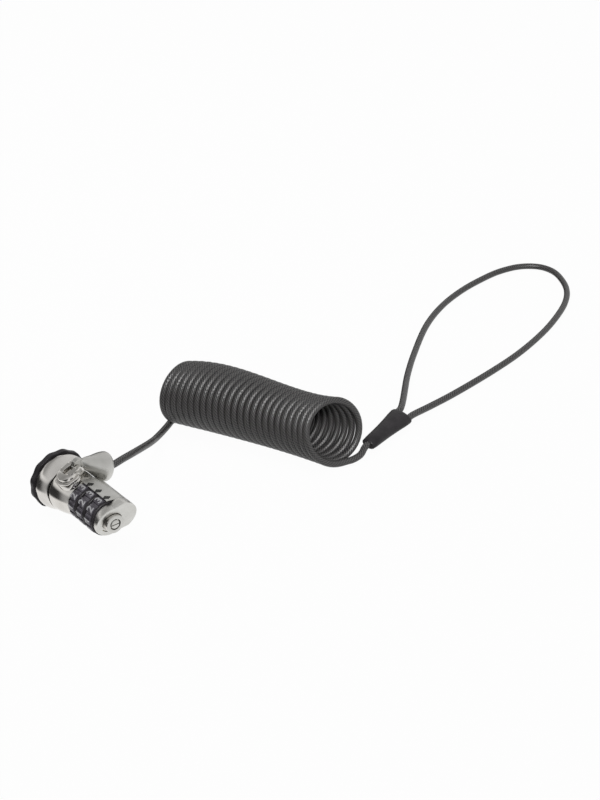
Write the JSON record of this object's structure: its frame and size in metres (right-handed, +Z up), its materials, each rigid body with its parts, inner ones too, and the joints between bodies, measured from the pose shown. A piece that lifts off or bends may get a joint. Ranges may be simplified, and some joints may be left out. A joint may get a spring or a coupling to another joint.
{
  "type": "laptop cable lock",
  "caption": "Combination lock head with number dials, a T-shaped anchor turned by a knob, a swivelling arm, and a coiled steel cable that ends in a loop.",
  "frame": {"origin": "on the surface that the lock lies on, under the middle of the head's box, without the cable", "axes": "+Y along the head's axis towards the anchor, -Y towards the end cap, +X towards the cable, +Z up"},
  "size_m": [0.3682, 0.1103, 0.0343],
  "materials": {
    "nickel": "bright nickel plate over cast zinc",
    "satin": "satin nickel plate",
    "steel": "plain turned steel",
    "brass": "turned brass",
    "black_plastic": "black moulded plastic",
    "black_rubber": "black rubber",
    "smoke_vinyl": "smoke-grey vinyl over steel strands"
  },
  "bodies": {
    "head": {"head_body": "nickel", "drum_shell": "nickel", "anchor_nose": "steel", "lock_pin_1": "steel", "lock_pin_2": "steel", "face_pad": "black_rubber", "end_cap": "satin", "cap_pin_1": "steel", "cap_pin_2": "steel", "detent_leaf": "steel", "return_spring": "steel"},
    "anchor": {"turn_knob": "black_plastic", "anchor_bar": "steel", "drive_cam": "steel", "cam_clip": "steel"},
    "dial_1": {"number_dial_1": "black_plastic", "dial_sleeve_1": "brass"},
    "dial_2": {"number_dial_2": "black_plastic", "dial_sleeve_2": "brass"},
    "dial_3": {"number_dial_3": "black_plastic", "dial_sleeve_3": "brass"},
    "plunger": {"push_button": "nickel", "lock_spindle": "steel"},
    "code_setter": {"code_screw": "nickel"},
    "swivel": {"swivel_post": "nickel", "snap_ring": "steel", "pivot_pin": "steel"},
    "arm": {"cable_arm": "satin", "strain_bush": "black_rubber", "cable_lead": "smoke_vinyl", "cable_coil": "smoke_vinyl", "cable_tail": "smoke_vinyl", "crimp_sleeve": "black_plastic", "cable_loop": "smoke_vinyl"}
  },
  "joints": [
    {"name": "knob_turn", "type": "hinge", "parent": "head", "child": "anchor", "pos_m": [-0.00203, 0.01947, 0.01403], "axis": [0, -1, 0], "range_deg": [0, 90]},
    {"name": "dial_1_turn", "type": "hinge", "parent": "head", "child": "dial_1", "pos_m": [-0.00203, -0.00432, 0.01403], "axis": [0, -1, 0], "continuous": true},
    {"name": "dial_2_turn", "type": "hinge", "parent": "head", "child": "dial_2", "pos_m": [-0.00203, -0.01112, 0.01403], "axis": [0, -1, 0], "continuous": true},
    {"name": "dial_3_turn", "type": "hinge", "parent": "head", "child": "dial_3", "pos_m": [-0.00203, -0.01792, 0.01403], "axis": [0, -1, 0], "continuous": true},
    {"name": "button_push", "type": "slide", "parent": "head", "child": "plunger", "axis": [0, 1, 0], "range_m": [0, 0.001], "stiffness_N_per_m": 300, "springref_m": -0.002, "deforming": ["return_spring"]},
    {"name": "code_screw_turn", "type": "hinge", "parent": "plunger", "child": "code_setter", "pos_m": [-0.00203, -0.02635, 0.01403], "axis": [0, -1, 0], "range_deg": [0, 90]},
    {"name": "swivel_turn", "type": "hinge", "parent": "head", "child": "swivel", "pos_m": [-0.00633, 0.00477, 0.02523], "axis": [-0.3584, 0, 0.9336], "range_deg": [-10, 8]},
    {"name": "arm_lift", "type": "hinge", "parent": "swivel", "child": "arm", "pos_m": [-0.00197, 0.00477, 0.02784], "axis": [0, -1, 0], "range_deg": [0, 60]}
  ]
}
